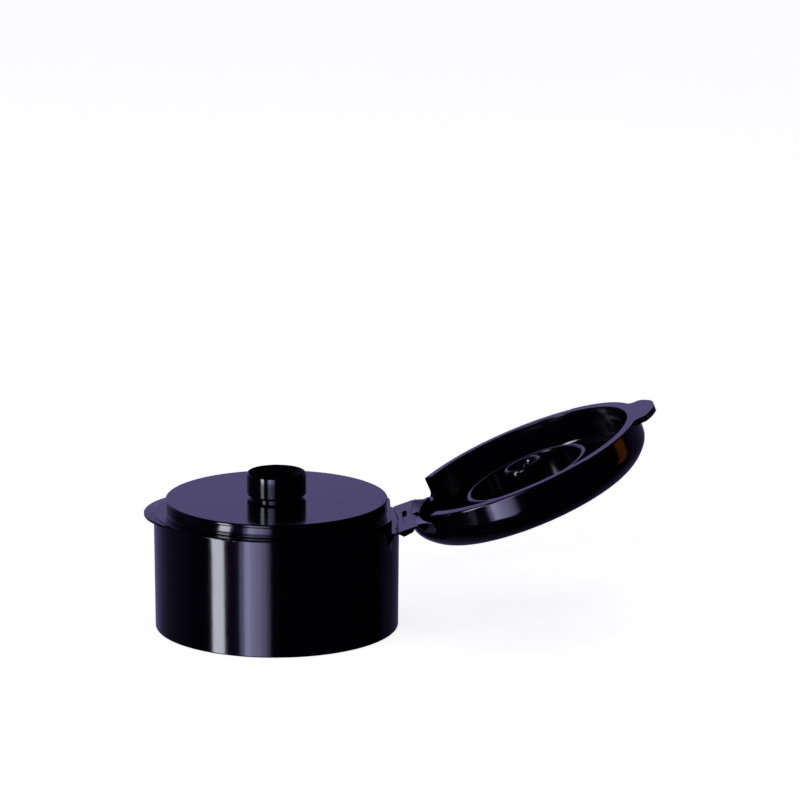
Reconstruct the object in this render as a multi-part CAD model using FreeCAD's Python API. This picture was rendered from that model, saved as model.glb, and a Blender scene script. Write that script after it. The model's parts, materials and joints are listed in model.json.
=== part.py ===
import FreeCAD, Part
import math
import os

# Flip top closure for a bottle: threaded base, lid, and the link of its double film hinge.
# Millimetres. The base stands on z = 0 with its axis on Z, and the hinge is on its +X side.
# The lid and the link are drawn shut, then turned open about the two film lines.

# base: threaded skirt and the seal for the bottle's mouth
neck_radius = 14.1          # wall of the skirt's bore, at the root of the thread
neck_wall = 1.2
neck_narrowing = 0.9        # the bore narrows by this under the deck, from the seal's end up
seal_inset = 3.2            # from the bore's wall to the seal
seal_wall = 0.8
seal_length = 2.6
seal_bevel = 0.25           # taper of the seal's lower half
seal_clearance = 0.1        # from the straight bore's upper end to the seal's edge

# base: outer shell, and the ribs that tie it to the skirt
shell_gap = 1.05            # between the skirt and the shell
shell_wall = 1.15
shell_draft = 0.12          # the shell is this much wider at its shoulder
shoulder_height = 17.0      # the lid's rim closes on this level
rib_count = 12
rib_thickness = 0.9
rib_start = 2.0             # height of the ribs' lower ends
edge_round = 0.25           # outer edges
inner_round = 0.3           # corners and edges out of sight
tip_round = 0.15            # edges of the thin rings

# base: deck inside the lid
deck_inset = 1.67           # from the shoulder's edge to the deck's
deck_rise = 1.9             # deck's height over the shoulder
deck_thickness = 1.3
snap_bead = 0.12            # how far the bead at the deck's edge stands out
snap_bead_height = 0.55

# base: spout
spout_radius = 4.26
spout_rise = 3.8            # spout's height over the deck
spout_foot_radius = 3.78
spout_foot_height = 0.55
spout_round = 0.35
orifice_radius = 2.9
orifice_land = 0.45
orifice_land_rise = 1.1     # lower edge of the land that the plug seals in, over the deck
funnel_radius = 4.05
relief_radius = 3.05
relief_depth = 0.3          # length of the slope from the relief up to the land

# base: thumb lip under the lid's tab
lip_reach = 1.42            # how far it stands out from the shoulder
lip_half_angle = 32.0
lip_edge = 0.55
lip_drop = 0.15             # slope of its upper face

# lid
rim_overhang = 0.45         # the lid's rim stands out this far over the shoulder
rim_width = 1.53
lid_height = 7.1
lid_draft = 0.12
dome_round = 4.5
dome_crown = 0.18
lid_ceiling = 5.85          # depth of the inside, from the rim
inside_round = 1.6
seat_gap = 0.08             # between the shut lid's rim and the shoulder
ring_radius = 9.28
ring_wall = 0.79
ring_depth = 2.28           # the ring's edge lies this far in from the rim
root_depth = 0.3            # how far the ring and the plug are drawn into the lid's top
plug_clearance = 0.12       # between the plug's bead and the orifice
plug_tip_radius = 2.55
plug_hole_radius = 1.75
plug_depth = 1.45
plug_bead_length = 1.2      # from the bead's end to the lid's top
plug_bead_round = 0.8
tab_reach = 2.8
tab_half_width = 4.9
tab_thickness = 0.85
tab_round = 1.9
tab_blend = 1.2

# hinge: two film lines parallel to Y, one above and one below the shoulder when shut
film_inset = 0.72           # both film lines lie this far in from the shoulder's edge
film_offset = 1.6           # film lines' distance from the shoulder's level
film_gap = 0.06             # clearance at the film line
hinge_half_width = 7.5
link_waist = 0.6            # the link is this much shorter at its middle, at each end
tongue_reach = 0.5          # base and lid reach this far into the link's waist
link_root_thickness = 1.05
link_tip_thickness = 0.6
link_bevel = 45.0
link_bevel_reach = 2.0      # how far the bevel's cut is drawn out
slot_half_length = 3.1
slot_width = 0.7
base_bevel = 19.0           # slope of the groove's base side, from the wall's direction
lid_bevel = 25.0
pocket_depth = 0.5          # room behind the shut link
block_height = 2.5
block_lean = 26.0           # slope of the blocks' outer faces
notch_half_angle = 37.0     # opening in the lid's wall round the hinge
notch_depth = 2.8
notch_round = 0.8
notch_margin = 2.0          # how far the cut starts inside the lid's wall

# rest pose: the lid stands open
lid_opening = 157.1         # turn of the lid from shut
film_ratio = 1.25           # lid film's turn for each degree of the base film's
base_film_turn = lid_opening / (1 + film_ratio)
lid_film_turn = lid_opening - base_film_turn

eps = 0.01
sink = 0.05                 # how far a fused piece is drawn into its wall
over = 1.0                  # how far a cut is drawn past its wall
side_overrun = 1.2          # the link's bevels are drawn past its sides by this factor
far = 40.0

seal_radius = neck_radius - seal_inset
skirt_radius = neck_radius + neck_wall
inside_radius = skirt_radius + shell_gap
foot_radius = inside_radius + shell_wall
shoulder_radius = foot_radius + shell_draft
deck_radius = shoulder_radius - deck_inset
rim_radius = shoulder_radius + rim_overhang
film_radius = shoulder_radius - film_inset
deck_height = shoulder_height + deck_rise
under_deck = deck_height - deck_thickness
spout_height = deck_height + spout_rise
orifice_land_height = deck_height + orifice_land_rise
rim_level = shoulder_height + seat_gap
base_film_height = shoulder_height - film_offset
lid_film_height = shoulder_height + film_offset
plug_radius = orifice_radius - plug_clearance


def across(a, b):
    # section plane through the axis: a is the radius, b the height
    return FreeCAD.Vector(a, 0, b)


def facing(a, b):
    # plane seen along X: a is across, b the height
    return FreeCAD.Vector(0, a, b)


def tangent_points(before, corner, after, radius):
    # where an arc of this radius leaves the two sides of a corner, and its middle point
    back = (before - corner).normalize()
    ahead = (after - corner).normalize()
    half = back.getAngle(ahead) / 2
    reach = radius / math.tan(half)
    inward = (back + ahead).normalize()
    middle = corner + inward * (radius / math.sin(half) - radius)
    return corner + back * reach, middle, corner + ahead * reach


def outline(corners, place):
    # closed wire; a corner given as (a, b, radius) is rounded
    points = [place(*corner[:2]) for corner in corners]
    ends = []
    edges = []
    for i, corner in enumerate(corners):
        if len(corner) < 3:
            ends.append((points[i], points[i]))
            continue
        after = points[(i + 1) % len(points)]
        start, middle, end = tangent_points(points[i - 1], points[i], after, corner[2])
        edges.append(Part.Arc(start, middle, end).toShape())
        ends.append((start, end))
    for i, (start, end) in enumerate(ends):
        following = ends[(i + 1) % len(ends)][0]
        if end.distanceToPoint(following) > 1e-6:
            edges.append(Part.LineSegment(end, following).toShape())
    return Part.Wire(Part.__sortEdges__(edges))


def turned(corners):
    # solid of revolution about the axis
    face = Part.Face(outline(corners, across))
    return face.revolve(FreeCAD.Vector(0, 0, 0), FreeCAD.Vector(0, 0, 1), 360)


def bar(corners, half_width):
    # section through the axis, drawn out to both sides of it
    face = Part.Face(outline(corners, across))
    face.translate(FreeCAD.Vector(0, -half_width, 0))
    return face.extrude(FreeCAD.Vector(0, 2 * half_width, 0))


def cylinder(radius, low, high):
    return Part.makeCylinder(radius, high - low, FreeCAD.Vector(0, 0, low))


def rise(run, degrees_from_vertical):
    return run / math.tan(math.radians(degrees_from_vertical))


def base_body():
    # outer shell, shoulder and deck in one section, hollow from below
    under_shoulder = shoulder_height - shell_wall
    side_radius = deck_radius - snap_bead
    bead_foot = deck_height - snap_bead_height
    bore_end = under_deck - seal_length - seal_clearance
    return turned([
        (0, under_deck),
        (neck_radius - neck_narrowing, under_deck, inner_round),
        (neck_radius, bore_end),
        (neck_radius, 0, inner_round),
        (skirt_radius, 0, inner_round),
        (skirt_radius, under_shoulder, inner_round),
        (inside_radius, under_shoulder, inner_round),
        (inside_radius, 0, tip_round),
        (foot_radius, 0, edge_round),
        (shoulder_radius, shoulder_height, edge_round),
        (side_radius, shoulder_height, tip_round),
        (side_radius, bead_foot),
        (deck_radius, bead_foot + snap_bead),
        (deck_radius, deck_height, edge_round),
        (0, deck_height),
    ])


def skirt_ribs():
    # radial webs between the threaded skirt and the outer shell
    low_radius = skirt_radius - neck_wall / 2
    high_radius = inside_radius + shell_wall / 2
    top = shoulder_height - shell_wall / 2
    rib = Part.makeBox(high_radius - low_radius, rib_thickness, top - rib_start,
                       FreeCAD.Vector(low_radius, -rib_thickness / 2, rib_start))
    ribs = []
    for i in range(rib_count):
        copy = rib.copy()
        copy.rotate(FreeCAD.Vector(0, 0, 0), FreeCAD.Vector(0, 0, 1), (i + 0.5) * 360 / rib_count)
        ribs.append(copy)
    return ribs


def mouth_seal():
    # ring under the deck that plugs the bottle's mouth
    top = under_deck + deck_thickness / 2
    low = under_deck - seal_length
    return turned([
        (seal_radius - seal_wall, top),
        (seal_radius - seal_wall, low, tip_round),
        (seal_radius - seal_bevel, low, tip_round),
        (seal_radius, low + seal_length / 2),
        (seal_radius, top),
    ])


def spout():
    # round spout with an undercut foot
    foot = under_deck + deck_thickness / 2
    shoulder = deck_height + spout_foot_height
    return turned([
        (0, foot),
        (spout_foot_radius, foot),
        (spout_foot_radius, deck_height + spout_foot_height / 2),
        (spout_radius, shoulder, inner_round),
        (spout_radius, spout_height, spout_round),
        (0, spout_height),
    ])


def spout_hole():
    # funnel, sealing land, and relief below the land
    land_top = orifice_land_height + orifice_land
    return turned([
        (0, 0),
        (relief_radius, 0),
        (relief_radius, orifice_land_height - relief_depth),
        (orifice_radius, orifice_land_height),
        (orifice_radius, land_top),
        (funnel_radius, spout_height, tip_round),
        (funnel_radius, spout_height + over),
        (0, spout_height + over),
    ])


def thumb_lip():
    # crescent shelf opposite the hinge, round about an axis of its own
    wall = shoulder_radius - sink
    tip = shoulder_radius + lip_reach
    angle = math.radians(lip_half_angle)
    shift = (tip ** 2 - wall ** 2) / (2 * (tip - wall * math.cos(angle)))
    radius = tip - shift
    top = shoulder_height - edge_round / 2
    low = top - lip_drop - lip_edge
    shelf = turned([
        (0, low - radius + shift / 2),
        (radius, low),
        (radius, top - lip_drop, tip_round),
        (radius - lip_reach, top),
        (0, top),
    ])
    shelf.translate(FreeCAD.Vector(-shift, 0, 0))
    inside = cylinder(inside_radius + shell_wall / 2, -far, far)
    hinge_side = Part.makeBox(far, 2 * far, 2 * far, FreeCAD.Vector(-shoulder_radius / 2, -far, -far))
    return shelf.cut([inside, hinge_side])


def hinge_block(film_height, way):
    # land that carries a film line; way is -1 below the line and +1 above it
    foot = film_height + way * block_height
    depth = film_radius - skirt_radius + neck_wall / 2
    lean = block_height * math.tan(math.radians(block_lean))
    return bar([
        (film_radius - depth, film_height),
        (film_radius, film_height),
        (film_radius - lean, foot),
        (film_radius - depth, foot),
    ], hinge_half_width)


def film_room(back):
    # room for the link over the base's film line, as far in as back
    top = shoulder_height + over
    return bar([(back, base_film_height), (far, base_film_height), (far, top), (back, top)], hinge_half_width)


def groove_slopes(film_height, way, bevel):
    # cuts the wall back outside a film line; the line runs out to a shallow point at its
    # middle, which reaches into the link's waist
    point = film_radius + tongue_reach
    run = rim_radius - film_radius + over
    foot = film_height + way * rise(run, bevel)
    slope = Part.Face(outline([
        (point, film_height - way * over),
        (point, film_height),
        (point + run, foot),
        (far, foot),
        (far, film_height - way * over),
    ], across))
    return [slope.extrude(FreeCAD.Vector(-tongue_reach, side * hinge_half_width, 0)) for side in (-1, 1)]


def make_base():
    block = hinge_block(base_film_height - eps, -1)
    body = base_body().fuse([block, mouth_seal(), spout(), thumb_lip()] + skirt_ribs())
    room = film_room(film_radius - pocket_depth)
    slopes = groove_slopes(base_film_height, -1, base_bevel)
    return body.cut([room, spout_hole()] + slopes).removeSplitter()


def lid_shell():
    # domed cap in one section, drawn over the shoulder
    top = rim_level + lid_height
    inner = rim_radius - rim_width
    ceiling = rim_level + lid_ceiling
    return turned([
        (0, ceiling),
        (inner - lid_draft, ceiling, inside_round),
        (inner, rim_level, tip_round),
        (rim_radius, rim_level, edge_round),
        (rim_radius - lid_draft, top - dome_crown, dome_round),
        (0, top),
    ])


def lid_ring():
    # low ring that stands round the spout
    root = rim_level + lid_ceiling + root_depth
    edge = rim_level + ring_depth
    return turned([
        (ring_radius - ring_wall, root),
        (ring_radius - ring_wall, edge, edge_round),
        (ring_radius, edge, edge_round),
        (ring_radius, root),
    ])


def plug():
    # hollow stopper: its bead meets the orifice's land when the lid is shut
    bead = orifice_land_height + orifice_land / 2
    tip = rim_level + plug_depth
    root = rim_level + lid_ceiling + root_depth
    return turned([
        (plug_hole_radius, root),
        (plug_hole_radius, tip, tip_round),
        (plug_tip_radius, tip, inner_round),
        (plug_radius, bead, plug_bead_round),
        (plug_tip_radius, root - root_depth - plug_bead_length),
        (plug_tip_radius, root),
    ])


def thumb_tab():
    # flat tab level with the rim, blended into it
    disc = cylinder(rim_radius - sink, rim_level, rim_level + tab_thickness)
    reach = rim_radius + tab_reach
    plate = Part.makeBox(reach, 2 * tab_half_width, tab_thickness,
                         FreeCAD.Vector(-reach, -tab_half_width, rim_level))
    slab = disc.fuse(plate).removeSplitter()
    upright = [edge for edge in slab.Edges if abs(edge.tangentAt(edge.FirstParameter).z) > 1 - eps]
    outer = [edge for edge in upright if edge.CenterOfMass.x < -rim_radius]
    blends = [edge for edge in upright if -rim_radius < edge.CenterOfMass.x < -rim_radius / 2]
    slab = slab.makeFillet(tab_round, outer)
    places = [edge.CenterOfMass for edge in blends]
    blends = [edge for edge in slab.Edges
              if any(edge.CenterOfMass.distanceToPoint(place) < eps for place in places)]
    slab = slab.makeFillet(tab_blend, blends)
    hollow = cylinder(rim_radius - rim_width / 2, rim_level - over, rim_level + tab_thickness + over)
    hinge_side = Part.makeBox(far, 2 * far, far, FreeCAD.Vector(-rim_radius / 2, -far, 0))
    return slab.cut([hollow, hinge_side])


def lid_notch():
    # opening through the lid's wall; it is shallower where the hinge stands in its middle
    low = rim_level - over
    top = rim_level + notch_depth
    inner = rim_radius - rim_width - notch_margin
    face = Part.Face(outline([(inner, low), (far, low), (far, top), (inner, top)], across))
    face.rotate(FreeCAD.Vector(0, 0, 0), FreeCAD.Vector(0, 0, 1), -notch_half_angle)
    sector = face.revolve(FreeCAD.Vector(0, 0, 0), FreeCAD.Vector(0, 0, 1), 2 * notch_half_angle)
    corners = [edge for edge in sector.Edges
               if len(edge.Vertexes) == 2 and min(v.Z for v in edge.Vertexes) > top - eps
               and edge.Vertexes[0].Point.getAngle(edge.Vertexes[1].Point) < 1]
    sector = sector.makeFillet(notch_round, corners)
    reach = far + over
    middle = bar([(0, lid_film_height), (reach, lid_film_height), (reach, far), (0, far)], hinge_half_width)
    return sector.cut(middle)


def make_lid():
    outside = cylinder(rim_radius - rim_width, -far, far)
    block = hinge_block(lid_film_height + eps, 1).cut(outside)
    shell = lid_shell().fuse([block, lid_ring(), plug(), thumb_tab()])
    slopes = groove_slopes(lid_film_height, 1, lid_bevel)
    return shell.cut([lid_notch()] + slopes).removeSplitter()


def link_end(height, way):
    # wedges that bevel one end of the link along its two slanting film lines
    ends = []
    edge = height + way * (film_gap + link_waist)
    inner = film_radius - eps
    outer = film_radius + link_bevel_reach
    foot = edge - way * link_bevel_reach
    section = Part.Face(outline([
        (inner, edge),
        (outer, edge + way * link_bevel_reach * math.tan(math.radians(link_bevel))),
        (outer, foot),
        (inner, foot),
    ], across))
    for side in (-1, 1):
        slant = FreeCAD.Vector(0, side * hinge_half_width, -way * link_waist)
        ends.append(section.extrude(slant * side_overrun))
    return ends


def make_link():
    # band between the film lines, thinner towards the lid, waisted at its middle, with a slot
    plate = bar([
        (film_radius, base_film_height),
        (film_radius + link_root_thickness, base_film_height),
        (film_radius + link_tip_thickness, lid_film_height),
        (film_radius, lid_film_height),
    ], hinge_half_width)
    half = slot_width / 2
    end_round = half - eps
    slot = Part.Face(outline([
        (-slot_half_length, shoulder_height - half, end_round),
        (slot_half_length, shoulder_height - half, end_round),
        (slot_half_length, shoulder_height + half, end_round),
        (-slot_half_length, shoulder_height + half, end_round),
    ], facing)).extrude(FreeCAD.Vector(far, 0, 0))
    wedges = link_end(base_film_height, 1) + link_end(lid_film_height, -1)
    return plate.cut(wedges + [slot]).removeSplitter()


def open_about(shape, height, degrees):
    shape.rotate(FreeCAD.Vector(film_radius, 0, height), FreeCAD.Vector(0, 1, 0), degrees)


def main():
    base = make_base()
    link = make_link()
    lid = make_lid()
    open_about(lid, lid_film_height, lid_film_turn)
    for shape in (link, lid):
        open_about(shape, base_film_height, base_film_turn)
    os.makedirs("parts", exist_ok=True)
    for name, shape in (("cap_base", base), ("hinge_link", link), ("lid", lid)):
        print(name, shape.isValid(), len(shape.Solids), round(shape.Volume, 1), shape.BoundBox)
        shape.Solids[0].exportStep("parts/" + name + ".step")


main()
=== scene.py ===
import bpy
import bmesh
import json
import math
from mathutils import Matrix, Vector


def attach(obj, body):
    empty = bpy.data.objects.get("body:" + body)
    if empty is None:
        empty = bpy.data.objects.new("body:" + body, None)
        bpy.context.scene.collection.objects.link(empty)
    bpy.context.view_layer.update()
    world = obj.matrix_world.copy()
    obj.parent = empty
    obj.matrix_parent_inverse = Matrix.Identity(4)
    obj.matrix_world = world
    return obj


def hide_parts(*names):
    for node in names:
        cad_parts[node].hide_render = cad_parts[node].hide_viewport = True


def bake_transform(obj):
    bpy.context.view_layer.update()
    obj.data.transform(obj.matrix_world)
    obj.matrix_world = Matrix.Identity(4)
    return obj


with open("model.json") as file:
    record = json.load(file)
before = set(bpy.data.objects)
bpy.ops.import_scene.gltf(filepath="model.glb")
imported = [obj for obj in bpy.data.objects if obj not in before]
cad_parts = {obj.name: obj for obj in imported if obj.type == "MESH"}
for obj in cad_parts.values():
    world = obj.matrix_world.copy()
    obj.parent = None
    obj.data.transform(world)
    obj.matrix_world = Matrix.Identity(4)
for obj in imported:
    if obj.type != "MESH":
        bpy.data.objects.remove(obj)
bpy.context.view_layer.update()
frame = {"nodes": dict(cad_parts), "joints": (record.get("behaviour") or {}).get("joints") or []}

nodes = frame["nodes"]
joints = {joint["name"]: joint for joint in frame["joints"]}
mm = 0.001

# both film lines at rest, and the turns that bring the lid from shut to rest
baseFilm = Vector(joints["base_film"]["pos_m"])
lidFilm = Vector(joints["lid_film"]["pos_m"])
baseTurn = -joints["base_film"]["range_deg"][0]
lidTurn = -joints["lid_film"]["range_deg"][0]


def say(text):
    print("cap:", text)


def newMaterial(name):
    material = bpy.data.materials.new(name)
    material.use_nodes = True
    material.node_tree.nodes.clear()
    return material, material.node_tree


def addNode(tree, kind, **settings):
    node = tree.nodes.new(kind)
    for key, value in settings.items():
        setattr(node, key, value)
    return node


def setInputs(node, **values):
    # a socket's name is written with _ for each space
    for key, value in values.items():
        node.inputs[key.replace("_", " ")].default_value = value


def join(tree, source, target):
    tree.links.new(source, target)


def turnAbout(point, degrees):
    back = Matrix.Translation(-point)
    return Matrix.Translation(point) @ Matrix.Rotation(math.radians(degrees), 4, "Y") @ back


def away(degrees):
    # where the shut cap's height points after a turn about Y
    return Vector((math.sin(math.radians(degrees)), 0, math.cos(math.radians(degrees))))


def smooth(value, start, end):
    share = min(max((value - start) / (end - start), 0), 1)
    return share * share * (3 - 2 * share)


plastic = {
    "colour": (0.0022, 0.0014, 0.0036),
    "colourDeep": (0.0012, 0.0008, 0.002),    # where the pigment lies denser
    "cloudSize": 4.0 * mm,
    "cloudDetail": 3.0,
    "cloudRoughness": 0.55,
    "roughness": 0.085,
    "roughnessVariation": 0.05,
    "ior": 1.49,
    "waveSize": 1.6 * mm,                     # slow waviness of the moulded skin
    "waveHeight": 0.0035 * mm,
    "grainSize": 0.11 * mm,
    "grainHeight": 0.00022 * mm,
}


def bumpLayer(tree, place, size, detail, height):
    texture = addNode(tree, "ShaderNodeTexNoise")
    setInputs(texture, Scale=1 / size, Detail=detail)
    bump = addNode(tree, "ShaderNodeBump")
    setInputs(bump, Strength=1.0, Distance=height)
    join(tree, place.outputs["Object"], texture.inputs["Vector"])
    join(tree, texture.outputs["Fac"], bump.inputs["Height"])
    return bump


def makePlastic(name, settings):
    material, tree = newMaterial(name)
    output = addNode(tree, "ShaderNodeOutputMaterial")
    shader = addNode(tree, "ShaderNodeBsdfPrincipled")
    shader.inputs["IOR"].default_value = settings["ior"]
    place = addNode(tree, "ShaderNodeTexCoord")

    cloud = addNode(tree, "ShaderNodeTexNoise")
    setInputs(cloud, Scale=1 / settings["cloudSize"], Detail=settings["cloudDetail"],
              Roughness=settings["cloudRoughness"])
    join(tree, place.outputs["Object"], cloud.inputs["Vector"])
    tint = addNode(tree, "ShaderNodeMix", data_type="RGBA")
    tint.inputs["A"].default_value = (*settings["colourDeep"], 1)
    tint.inputs["B"].default_value = (*settings["colour"], 1)
    join(tree, cloud.outputs["Fac"], tint.inputs["Factor"])
    join(tree, tint.outputs["Result"], shader.inputs["Base Color"])

    spread = addNode(tree, "ShaderNodeMapRange")
    setInputs(spread, To_Min=settings["roughness"],
              To_Max=settings["roughness"] + settings["roughnessVariation"])
    join(tree, cloud.outputs["Fac"], spread.inputs["Value"])
    join(tree, spread.outputs["Result"], shader.inputs["Roughness"])

    slow = bumpLayer(tree, place, settings["waveSize"], 1.0, settings["waveHeight"])
    fine = bumpLayer(tree, place, settings["grainSize"], 2.0, settings["grainHeight"])
    join(tree, slow.outputs["Normal"], fine.inputs["Normal"])
    join(tree, fine.outputs["Normal"], shader.inputs["Normal"])
    join(tree, shader.outputs["BSDF"], output.inputs["Surface"])
    return material


blackPlastic = makePlastic("blackPlastic", plastic)
say("plastic mixed")


def newPiece(name, mesh, body=None):
    # a piece that bends between two bodies rides none
    mesh.materials.clear()
    mesh.materials.append(blackPlastic)
    piece = bpy.data.objects.new(name, mesh)
    bpy.context.scene.collection.objects.link(piece)
    if body:
        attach(piece, body)
    return piece


def meshFrom(name, work):
    mesh = bpy.data.meshes.new(name)
    work.to_mesh(mesh)
    work.free()
    return mesh


openLid = turnAbout(lidFilm, lidTurn) @ turnAbout(baseFilm, baseTurn)

lidForm = {
    "rimLevel": 17.08 * mm,      # height of the shut lid's rim
    "rimRadius": 18.07 * mm,
    "crownSink": 0.14 * mm,      # the dome is this much lower than the solid's
    "shoulderSink": 0.38 * mm,   # and this much more towards its rounded edge
    "flatRadius": 10.0 * mm,     # the dome rounds off from here out to its side
    "sideRadius": 18.0 * mm,
    "sinkStart": 2.6 * mm,       # depths from the rim between which the dome sinks
    "sinkEnd": 6.2 * mm,
    "tabShare": 0.95,            # reach of the thumb tab, as a share of the solid's
    "cornerShare": 0.42,         # what its corners lose, so that its end is rounder
    "tabStraight": 0.8 * mm,     # half of the tab's straight end
    "tabCuts": (1.2 * mm, 2.0 * mm, 2.6 * mm),
    "tabHalfWidth": 4.9 * mm,
    "blockHalfWidth": 7.6 * mm,  # the land beside the lid's film slopes down inwards
    "blockEdge": 16.5 * mm,
    "blockDepth": 1.52 * mm,
    "blockSlope": 0.5 * mm,
    "near": 0.1 * mm,            # what lies this close to the land's depth belongs to it
}

lipForm = {
    "top": 17.0 * mm,            # the shoulder's level
    "wall": 17.5 * mm,           # the shell's radius under the thumb lip
    "halfAngle": 40.0,
    "depth": 2.5 * mm,           # how far down the wall the lip's foot reaches
    "thin": 0.5,                 # thickness as a share of the solid's
}


def cutTab(work):
    # lines across the tab's end, which let it take a round outline
    for place in lidForm["tabCuts"]:
        for side in (-1, 1):
            faces = [face for face in work.faces
                     if (openLid.inverted() @ face.calc_center_median()).x < -lidForm["rimRadius"]]
            parts = set(faces)
            for face in faces:
                parts.update(face.edges, face.verts)
            bmesh.ops.bisect_plane(work, geom=list(parts), plane_co=(0, side * place, 0),
                                   plane_no=(0, 1, 0), dist=skin["mergeDistance"])


def roundLid(point):
    # works on the shut lid: softer dome, rounder end of the tab, sloping land by the film
    shut = openLid.inverted() @ point
    depth = shut.z - lidForm["rimLevel"]
    radius = math.hypot(shut.x, shut.y)
    towardsSide = smooth(radius, lidForm["flatRadius"], lidForm["sideRadius"])
    sinking = lidForm["crownSink"] + lidForm["shoulderSink"] * towardsSide
    shut.z -= sinking * smooth(depth, lidForm["sinkStart"], lidForm["sinkEnd"])
    reach = -shut.x - lidForm["rimRadius"]
    if reach > 0:
        corner = smooth(abs(shut.y), lidForm["tabStraight"], lidForm["tabHalfWidth"])
        share = lidForm["tabShare"] - lidForm["cornerShare"] * corner
        shut.x = -lidForm["rimRadius"] - reach * share
    besideFilm = abs(shut.y) < lidForm["blockHalfWidth"] and 0 < shut.x < lidForm["blockEdge"]
    if besideFilm and abs(depth - lidForm["blockDepth"]) < lidForm["near"]:
        shut.z += lidForm["blockSlope"]
    return openLid @ shut


def thinLip(point):
    # lifts the thumb lip's underside, so that its top is level with the shoulder
    radius = math.hypot(point.x, point.y)
    angle = math.degrees(math.atan2(abs(point.y), -point.x))
    below = lipForm["top"] - point.z
    if radius > lipForm["wall"] and angle < lipForm["halfAngle"] and below < lipForm["depth"]:
        point.z = lipForm["top"] - below * lipForm["thin"]
    return point


skin = {
    "mergeDistance": 0.001 * mm,
    "crease": 50.0,     # edges that turn by more degrees than this stay sharp
}


def smoothSkin(node, name, body, form=None, cut=None):
    # copy of the solid's mesh with its triangles joined and its normals led by the large faces
    mesh = nodes[node].data.copy()
    mesh.name = name
    work = bmesh.new()
    work.from_mesh(mesh)
    bmesh.ops.remove_doubles(work, verts=work.verts, dist=skin["mergeDistance"])
    if cut:
        cut(work)
    if form:
        for vertex in work.verts:
            vertex.co = form(vertex.co.copy())
    work.normal_update()
    for edge in work.edges:
        edge.smooth = edge.calc_face_angle(math.pi) < math.radians(skin["crease"])
    for face in work.faces:
        face.smooth = True
    work.to_mesh(mesh)
    work.free()
    piece = newPiece(name, mesh, body)
    weighted = piece.modifiers.new("evenNormals", "WEIGHTED_NORMAL")
    weighted.mode = "FACE_AREA_WITH_ANGLE"
    weighted.keep_sharp = True
    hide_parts(node)
    return piece


smoothSkin("cap_base", "baseSkin", "base", form=thinLip)
smoothSkin("hinge_link", "linkSkin", "link")
smoothSkin("lid", "lidSkin", "lid", form=roundLid, cut=cutTab)
say("skins smoothed")

web = {
    "halfWidth": 7.45 * mm,
    "tongue": 0.5 * mm,       # how far base and lid reach into the link's waist at its middle
    "waist": 0.66 * mm,       # from a film line to the link's end at its middle
    "clearance": 0.06 * mm,   # and at its sides
    "overlap": 0.22 * mm,     # how far the web is drawn into both of its neighbours
    "thickness": 0.2 * mm,
    "sunk": 0.11 * mm,        # under the neighbours' inner faces
    "bend": 0.1 * mm,         # the bend starts this far outside the gap
}


def webRows(line, toTongue, toLink, faces, share):
    # the web's upper line and its normals from tongue to link; share is 1 at the middle
    tongue = line + toTongue * web["tongue"] * share
    link = line + toLink * (web["clearance"] + (web["waist"] - web["clearance"]) * share)
    tongueFace, linkFace = faces
    return [
        (tongue - toTongue * web["overlap"], tongueFace),
        (tongue, tongueFace),
        ((tongue + link) / 2, (tongueFace + linkFace).normalized()),
        (link, linkFace),
        (link + toLink * web["overlap"], linkFace),
    ]


def closedStrip(work, rails):
    # closed skin round four rails: upper and lower at one side, then at the other
    rails = [[work.verts.new(point) for point in rail] for rail in rails]
    corners = (rails[0], rails[2], rails[3], rails[1])
    for rail, beside in zip(corners, corners[1:] + corners[:1]):
        for i in range(len(rail) - 1):
            work.faces.new((rail[i], beside[i], beside[i + 1], rail[i + 1]))
    for end in (0, -1):
        work.faces.new([rail[end] for rail in corners])
    bmesh.ops.recalc_face_normals(work, faces=work.faces)


def filmWeb(name, side, line, toTongue, toLink, faces):
    # one half of a film: thin strip from the tongue's edge to the link's, along the line
    rails = []
    for y, share in ((0, 1), (side * web["halfWidth"], 0)):
        rows = webRows(line, toTongue, toLink, faces, share)
        for depth in (web["sunk"], web["sunk"] + web["thickness"]):
            rails.append([row + Vector((0, y, 0)) - normal * depth for row, normal in rows])
    work = bmesh.new()
    closedStrip(work, rails)
    piece = newPiece(name, meshFrom(name, work))
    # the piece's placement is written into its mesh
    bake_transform(piece)


linkAlong = away(baseTurn)                      # from the base's film to the lid's
linkInner = away(baseTurn - 90)                 # out of the link's inner face
tongueOfLid = away(baseTurn + lidTurn + 90)     # the lid's tongue points this way
lidFace = -away(baseTurn + lidTurn)             # out of the face that carries the lid's film
outwards = Vector((1, 0, 0))
upwards = Vector((0, 0, 1))
for side, word in ((-1, "Near"), (1, "Far")):
    filmWeb("baseFilm" + word, side, baseFilm, outwards, linkAlong,
            (upwards, linkInner))
    filmWeb("lidFilm" + word, side, lidFilm, tongueOfLid, -linkAlong,
            (lidFace, linkInner))
say("film webs drawn")

# a sheet of the black plastic laid in the link's slot as painted shade
slotShadeSheet = {
    "halfLength": 3.3 * mm,
    "halfWidth": 0.45 * mm,
    "upper": 0.42 * mm,       # depths of its two sides under the link's inner face
    "lower": 0.6 * mm,
}


def darkenSlot():
    # black sheet across the link's slot: painted shade, standing in for the dark inside the slot
    # so that the floor doesn't show through it
    thickness = slotShadeSheet["lower"] - slotShadeSheet["upper"]
    size = Vector((2 * slotShadeSheet["halfWidth"], 2 * slotShadeSheet["halfLength"], thickness))
    middle = baseFilm + (lidFilm - baseFilm) / 2
    place = middle - linkInner * (slotShadeSheet["upper"] + slotShadeSheet["lower"]) / 2
    turn = Matrix.Rotation(math.radians(baseTurn - 90), 4, "Y")
    work = bmesh.new()
    bmesh.ops.create_cube(work, size=1)
    bmesh.ops.transform(work, verts=work.verts,
                        matrix=Matrix.Translation(place) @ turn @ Matrix.Diagonal((*size, 1)))
    newPiece("slotShadeSheet", meshFrom("slotShadeSheet", work), "link")


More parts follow.
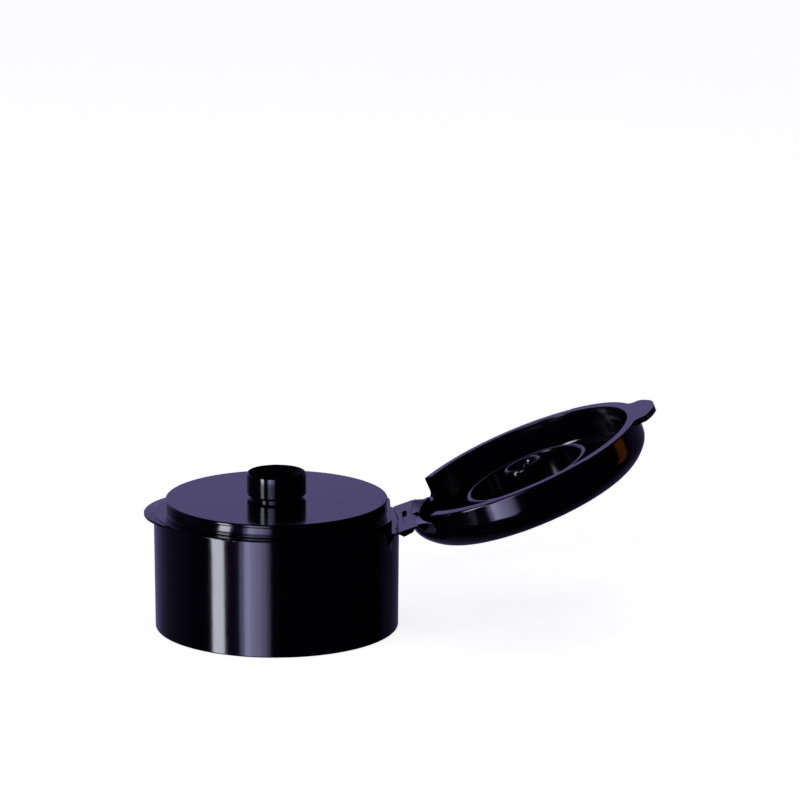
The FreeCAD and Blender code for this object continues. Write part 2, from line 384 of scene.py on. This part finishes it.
plugEnd = {
    # radius, and depth inside the rim, of the sleeve that ends the lid's plug, in mm
    "section": [(1.7, 2.7), (2.22, 1.05), (2.36, 0.9), (2.6, 0.87), (2.76, 0.98), (2.83, 1.3),
                (2.84, 3.4), (2.7, 4.3), (2.4, 4.3)],
    "steps": 96,
}


def sleevePlug():
    # the plug's end: wide in its mouth, and drawn over the solid's
    work = bmesh.new()
    rings = []
    for step in range(plugEnd["steps"]):
        turn = Matrix.Rotation(2 * math.pi * step / plugEnd["steps"], 3, "Z")
        ring = []
        for radius, depth in plugEnd["section"]:
            point = turn @ Vector((radius * mm, 0, lidForm["rimLevel"] + depth * mm))
            ring.append(work.verts.new(openLid @ point))
        rings.append(ring)
    count = len(plugEnd["section"])
    for ring, following in zip(rings, rings[1:] + rings[:1]):
        for i in range(count):
            after = (i + 1) % count
            work.faces.new((ring[i], ring[after], following[after], following[i]))
    bmesh.ops.recalc_face_normals(work, faces=work.faces)
    for face in work.faces:
        face.smooth = True
    newPiece("plugEnd", meshFrom("plugEnd", work), "lid")


darkenSlot()
sleevePlug()
say("plug and slot finished")

thread = {
    "turns": 1.75,
    "pitch": 4.23 * mm,       # six turns to the inch, as on 28 mm bottle necks
    "start": 2.6 * mm,        # height of its lower end
    "radius": 14.2 * mm,      # the ridge's middle lies just inside the skirt's wall
    "ridge": 1.0 * mm,
    "taper": 0.07,            # share of its length that runs out at each end
}


def threadTree():
    tree = bpy.data.node_groups.new("threadTree", "GeometryNodeTree")
    sockets = tree.interface
    for name in thread:
        sockets.new_socket(name=name, in_out="INPUT", socket_type="NodeSocketFloat")
    sockets.new_socket(name="material", in_out="INPUT", socket_type="NodeSocketMaterial")
    sockets.new_socket(name="Geometry", in_out="OUTPUT", socket_type="NodeSocketGeometry")
    given = addNode(tree, "NodeGroupInput").outputs

    rise = addNode(tree, "ShaderNodeMath", operation="MULTIPLY")
    join(tree, given["turns"], rise.inputs[0])
    join(tree, given["pitch"], rise.inputs[1])
    spiral = addNode(tree, "GeometryNodeCurveSpiral")
    spiral.inputs["Resolution"].default_value = 96
    join(tree, given["turns"], spiral.inputs["Rotations"])
    join(tree, given["radius"], spiral.inputs["Start Radius"])
    join(tree, given["radius"], spiral.inputs["End Radius"])
    join(tree, rise.outputs[0], spiral.inputs["Height"])
    place = addNode(tree, "ShaderNodeCombineXYZ")
    join(tree, given["start"], place.inputs["Z"])
    lift = addNode(tree, "GeometryNodeTransform")
    join(tree, spiral.outputs["Curve"], lift.inputs["Geometry"])
    join(tree, place.outputs[0], lift.inputs["Translation"])

    # the ridge swells from each end over the taper
    along = addNode(tree, "GeometryNodeSplineParameter")
    left = addNode(tree, "ShaderNodeMath", operation="SUBTRACT")
    left.inputs[0].default_value = 1
    join(tree, along.outputs["Factor"], left.inputs[1])
    nearest = addNode(tree, "ShaderNodeMath", operation="MINIMUM")
    join(tree, along.outputs["Factor"], nearest.inputs[0])
    join(tree, left.outputs[0], nearest.inputs[1])
    swell = addNode(tree, "ShaderNodeMapRange", interpolation_type="SMOOTHSTEP")
    swell.inputs["To Min"].default_value = 0.2
    join(tree, nearest.outputs[0], swell.inputs["Value"])
    join(tree, given["taper"], swell.inputs["From Max"])

    section = addNode(tree, "GeometryNodeCurvePrimitiveCircle")
    section.inputs["Resolution"].default_value = 20
    join(tree, given["ridge"], section.inputs["Radius"])
    sweep = addNode(tree, "GeometryNodeCurveToMesh")
    sweep.inputs["Fill Caps"].default_value = True
    join(tree, lift.outputs["Geometry"], sweep.inputs["Curve"])
    join(tree, section.outputs["Curve"], sweep.inputs["Profile Curve"])
    join(tree, swell.outputs["Result"], sweep.inputs["Scale"])
    realize = addNode(tree, "GeometryNodeRealizeInstances")
    paint = addNode(tree, "GeometryNodeSetMaterial")
    join(tree, sweep.outputs["Mesh"], realize.inputs["Geometry"])
    join(tree, realize.outputs["Geometry"], paint.inputs["Geometry"])
    join(tree, given["material"], paint.inputs["Material"])
    join(tree, paint.outputs["Geometry"], addNode(tree, "NodeGroupOutput").inputs["Geometry"])
    return tree


def grown(name, tree, values):
    # runs a tree once and keeps its result as a plain mesh
    holder = bpy.data.objects.new(name + "Source", bpy.data.meshes.new(name + "Empty"))
    bpy.context.scene.collection.objects.link(holder)
    modifier = holder.modifiers.new("grow", "NODES")
    modifier.node_group = tree
    for socket in tree.interface.items_tree:
        if socket.in_out == "INPUT":
            modifier[socket.identifier] = values[socket.name]
    graph = bpy.context.evaluated_depsgraph_get()
    mesh = bpy.data.meshes.new_from_object(holder.evaluated_get(graph), depsgraph=graph)
    mesh.name = name
    bpy.data.objects.remove(holder)
    return mesh


threadMesh = grown("thread", threadTree(), dict(thread, material=blackPlastic))
for polygon in threadMesh.polygons:
    polygon.use_smooth = True
newPiece("thread", threadMesh, "base")
say("thread wound")

stage = {
    "floorSize": 6.0,
    "floorColour": (0.9, 0.9, 0.9),
    "floorGlow": 0.88,
    "backdropTint": (0.30, 0.255, 0.60),
    "backdropSide": (-0.25, 0.95, 0.17),     # the room is lightest this way
    # from the dark side to the light one, and the tint's share there
    "backdropSteps": [(0.0, 0.002), (0.15, 0.03), (0.25, 0.08), (0.45, 0.11), (0.68, 0.19),
                      (0.8, 0.33), (0.9, 0.6), (0.96, 1.0)],
    "darkAbove": (0.3, 0.6),                 # the room fades out between these heights
    "ceiling": 0.05,                         # what is left of it there
}

cards = [
    # name, azimuth from and to (left of the camera's side), elevation from and to, radiance
    ("stripBright", 50.3, 62.7, -33.0, 18.0, (11.0, 11.0, 13.0)),
    ("between", 35.0, 50.3, -30.0, 15.0, (0.05, 0.03, 0.12)),
    ("broadEdge", 30.5, 35.0, -33.0, 20.0, (1.7, 1.62, 2.9)),
    ("broadPeak", 24.5, 30.5, -33.0, 20.0, (4.8, 4.8, 8.0)),
    ("broadMiddle", 20.0, 24.5, -33.0, 20.0, (3.5, 3.45, 6.0)),
    ("broadSoft", 14.5, 20.0, -33.0, 20.0, (2.9, 2.8, 5.0)),
    ("broadDim", 9.5, 14.5, -33.0, 20.0, (2.1, 1.9, 3.3)),
    ("broadEnd", 6.2, 9.5, -33.0, 20.0, (1.0, 0.85, 1.6)),
    ("woodDoor", -107.0, -95.0, -5.0, 10.0, (0.5, 0.13, 0.01)),
]
cardDistance = 1.1


def makeWorld():
    # white for the camera; a dim violet room for what the plastic mirrors
    world = bpy.data.worlds.new("studio")
    bpy.context.scene.world = world
    world.use_nodes = True
    tree = world.node_tree
    tree.nodes.clear()
    output = addNode(tree, "ShaderNodeOutputWorld")
    path = addNode(tree, "ShaderNodeLightPath")
    white = addNode(tree, "ShaderNodeBackground")
    white.inputs["Color"].default_value = (1, 1, 1, 1)
    room = addNode(tree, "ShaderNodeBackground")
    place = addNode(tree, "ShaderNodeTexCoord")

    facing = addNode(tree, "ShaderNodeVectorMath", operation="DOT_PRODUCT")
    facing.inputs[1].default_value = stage["backdropSide"]
    join(tree, place.outputs["Generated"], facing.inputs[0])
    glow = addNode(tree, "ShaderNodeValToRGB")
    ramp = glow.color_ramp
    while len(ramp.elements) < len(stage["backdropSteps"]):
        ramp.elements.new(0.5)
    for element, (position, share) in zip(ramp.elements, stage["backdropSteps"]):
        element.position = position
        element.color = (*(share * channel for channel in stage["backdropTint"]), 1)
    join(tree, facing.outputs["Value"], glow.inputs["Fac"])
    join(tree, glow.outputs["Color"], room.inputs["Color"])

    height = addNode(tree, "ShaderNodeSeparateXYZ")
    join(tree, place.outputs["Generated"], height.inputs[0])
    fade = addNode(tree, "ShaderNodeMapRange", interpolation_type="SMOOTHSTEP")
    start, end = stage["darkAbove"]
    setInputs(fade, From_Min=start, From_Max=end, To_Min=1, To_Max=stage["ceiling"])
    join(tree, height.outputs["Z"], fade.inputs["Value"])
    join(tree, fade.outputs["Result"], room.inputs["Strength"])

    mix = addNode(tree, "ShaderNodeMixShader")
    join(tree, path.outputs["Is Camera Ray"], mix.inputs["Fac"])
    join(tree, room.outputs["Background"], mix.inputs[1])
    join(tree, white.outputs["Background"], mix.inputs[2])
    join(tree, mix.outputs["Shader"], output.inputs["Surface"])


def makeFloor():
    # pale paint that glows for the camera alone, so that it keeps a faint shadow
    material, tree = newMaterial("floorPaint")
    output = addNode(tree, "ShaderNodeOutputMaterial")
    paint = addNode(tree, "ShaderNodeBsdfDiffuse")
    paint.inputs["Color"].default_value = (*stage["floorColour"], 1)
    glow = addNode(tree, "ShaderNodeEmission")
    glow.inputs["Strength"].default_value = stage["floorGlow"]
    path = addNode(tree, "ShaderNodeLightPath")
    seen = addNode(tree, "ShaderNodeMixShader")
    both = addNode(tree, "ShaderNodeAddShader")
    join(tree, glow.outputs["Emission"], both.inputs[0])
    join(tree, paint.outputs["BSDF"], both.inputs[1])
    join(tree, path.outputs["Is Camera Ray"], seen.inputs["Fac"])
    join(tree, paint.outputs["BSDF"], seen.inputs[1])
    join(tree, both.outputs["Shader"], seen.inputs[2])
    join(tree, seen.outputs["Shader"], output.inputs["Surface"])
    bpy.ops.mesh.primitive_plane_add(size=stage["floorSize"])
    floor = bpy.context.object
    floor.name = "floor"
    floor.data.materials.append(material)
    floor.visible_glossy = False


def direction(azimuth):
    # level direction, azimuth to the left of the camera's side as the cap sees it
    angle = math.radians(azimuth)
    return Vector((-math.sin(angle), -math.cos(angle), 0))


def makeCard(name, start, end, low, high, radiance):
    # upright glowing card that the plastic mirrors and the camera doesn't see
    material, tree = newMaterial(name + "Glow")
    output = addNode(tree, "ShaderNodeOutputMaterial")
    glow = addNode(tree, "ShaderNodeEmission")
    glow.inputs["Color"].default_value = (*radiance, 1)
    join(tree, glow.outputs["Emission"], output.inputs["Surface"])
    middle = direction((start + end) / 2) * cardDistance
    side = Vector((middle.y, -middle.x, 0)).normalized()
    half = cardDistance * math.tan(math.radians((end - start) / 2))
    bottom = cardDistance * math.tan(math.radians(low))
    top = cardDistance * math.tan(math.radians(high))
    corners = [middle + side * (way * half) + Vector((0, 0, height))
               for way, height in ((-1, bottom), (1, bottom), (1, top), (-1, top))]
    mesh = bpy.data.meshes.new(name)
    mesh.from_pydata([tuple(corner) for corner in corners], [], [(0, 1, 2, 3)])
    mesh.materials.append(material)
    card = bpy.data.objects.new(name, mesh)
    bpy.context.scene.collection.objects.link(card)
    card.visible_camera = False
    card.visible_shadow = False


overhead = {
    "energy": 2.2,
    "size": 1.2,
    "position": (0.1, -0.1, 1.4),
}


def makeLamp():
    lamp = bpy.data.lights.new("overhead", "AREA")
    lamp.energy = overhead["energy"]
    lamp.size = overhead["size"]
    holder = bpy.data.objects.new("overhead", lamp)
    holder.location = overhead["position"]
    holder.visible_glossy = False
    bpy.context.scene.collection.objects.link(holder)


makeWorld()
makeFloor()
for card in cards:
    makeCard(*card)
makeLamp()
say("stage set")

view = {
    "lens": 202.5,
    "position": Vector((-0.000315, -0.62522, 0.18081)),
    "direction": Vector((0.0280, 0.9728, -0.2298)),
    "roll": 0.152,        # degrees
    "nearest": 0.01,
}


def placeCamera():
    camera = bpy.data.cameras.new("camera")
    camera.lens = view["lens"]
    camera.clip_start = view["nearest"]
    holder = bpy.data.objects.new("camera", camera)
    holder.location = view["position"]
    aim = view["direction"].to_track_quat("-Z", "Y").to_matrix().to_4x4()
    roll = Matrix.Rotation(math.radians(view["roll"]), 4, "Z")
    holder.rotation_euler = (aim @ roll).to_euler()
    bpy.context.scene.collection.objects.link(holder)
    bpy.context.scene.camera = holder


placeCamera()
bpy.context.scene.view_settings.view_transform = "Standard"
say("camera placed")
